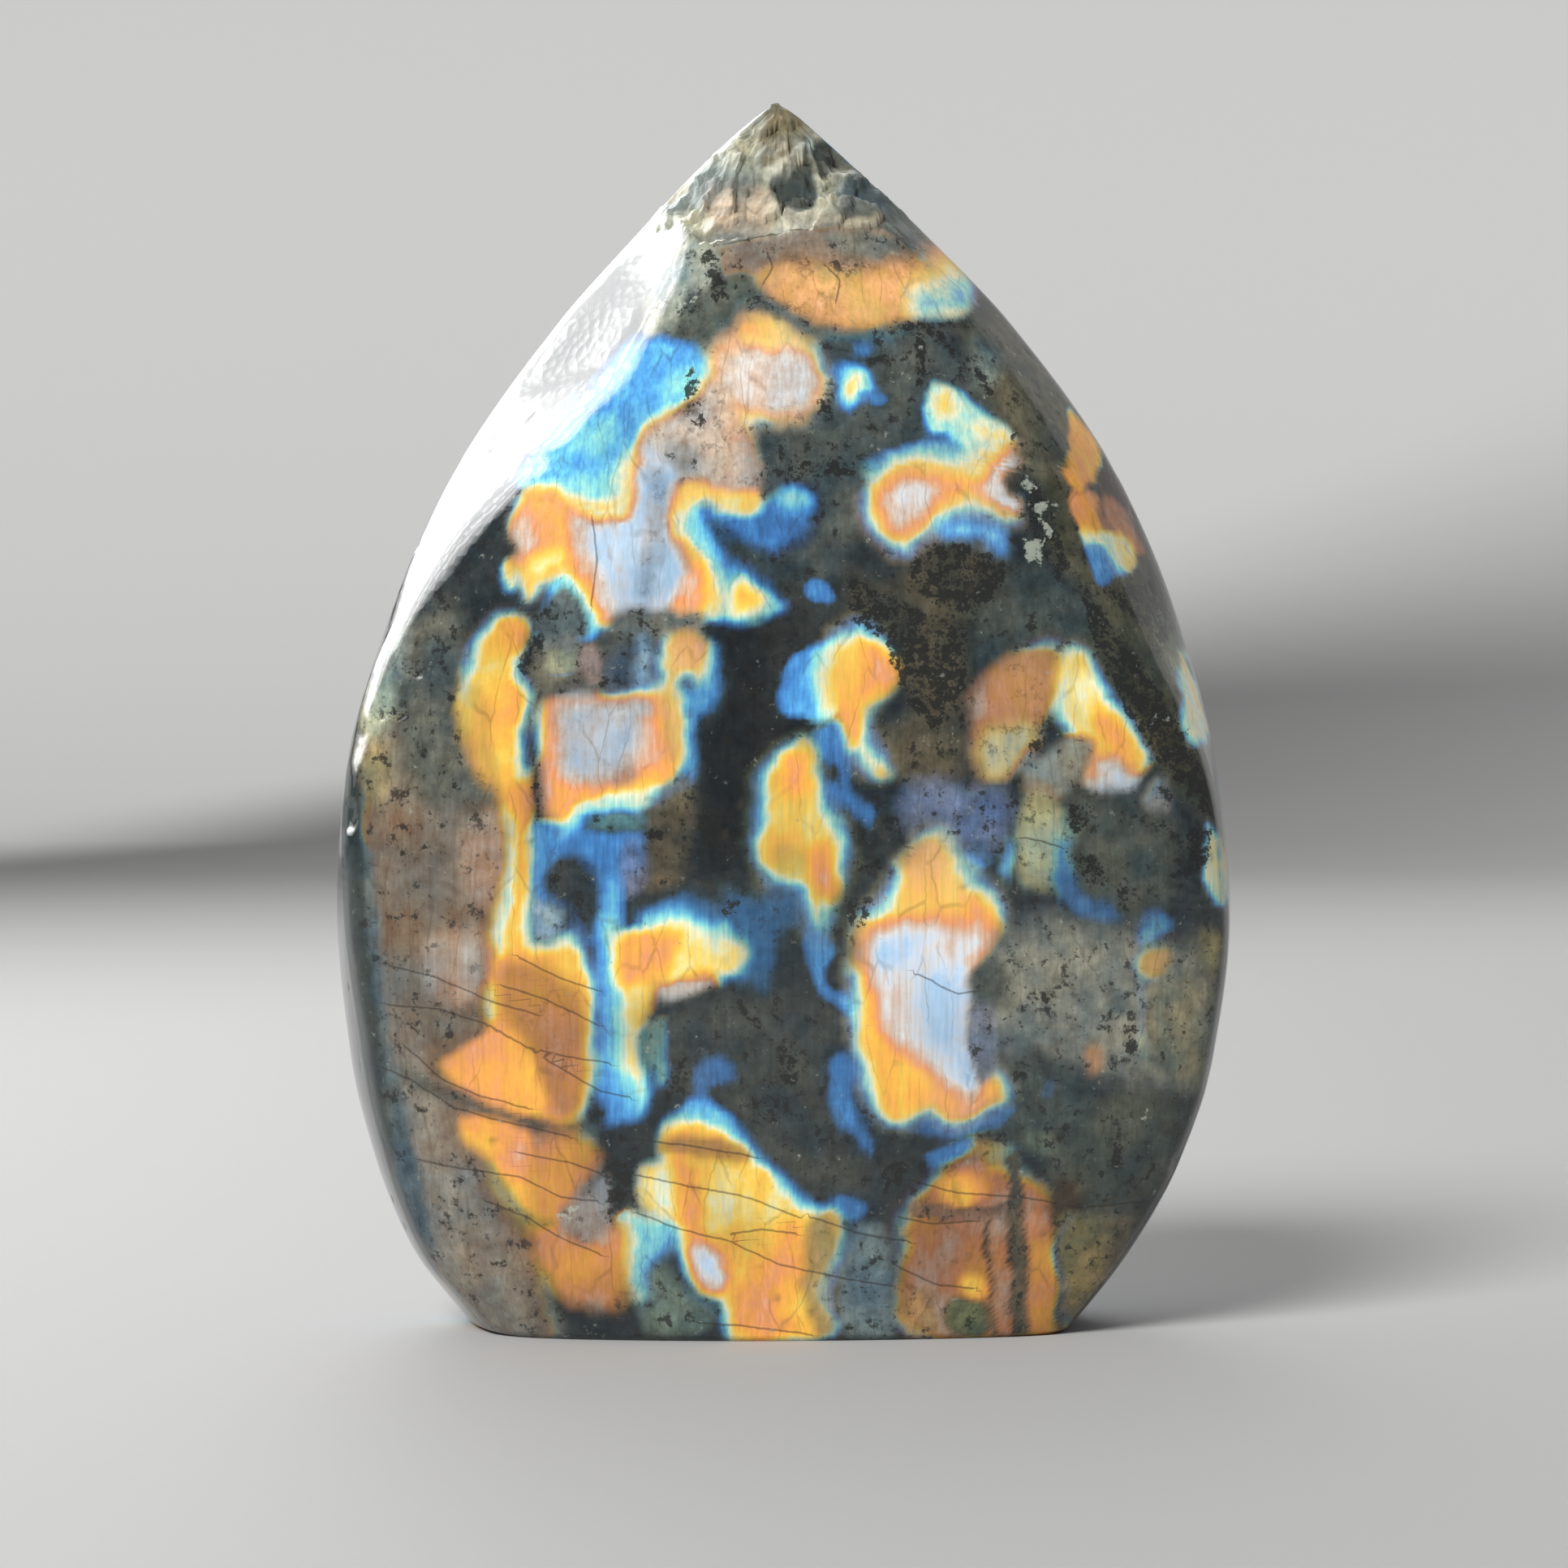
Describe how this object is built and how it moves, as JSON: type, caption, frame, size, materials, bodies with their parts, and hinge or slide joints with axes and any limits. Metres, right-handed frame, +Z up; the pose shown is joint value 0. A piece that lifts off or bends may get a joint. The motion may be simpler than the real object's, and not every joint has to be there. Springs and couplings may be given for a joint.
{
  "type": "polished labradorite flame",
  "caption": "Polished freeform stone in the shape of a flame, with a broad domed face, ground bevels that meet in a rim, a pointed tip and a flat sawn foot that it stands on.",
  "frame": {"origin": "on the sawn foot, in the middle of the stone's box", "axes": "+Z up to the tip; the broad front face looks along -Y; +X is to the right of a person who faces it"},
  "size_m": [0.0792, 0.0364, 0.1082],
  "materials": {
    "polished_labradorite": "polished"
  },
  "bodies": {
    "root": {"flame_stone": "polished_labradorite"}
  },
  "joints": []
}
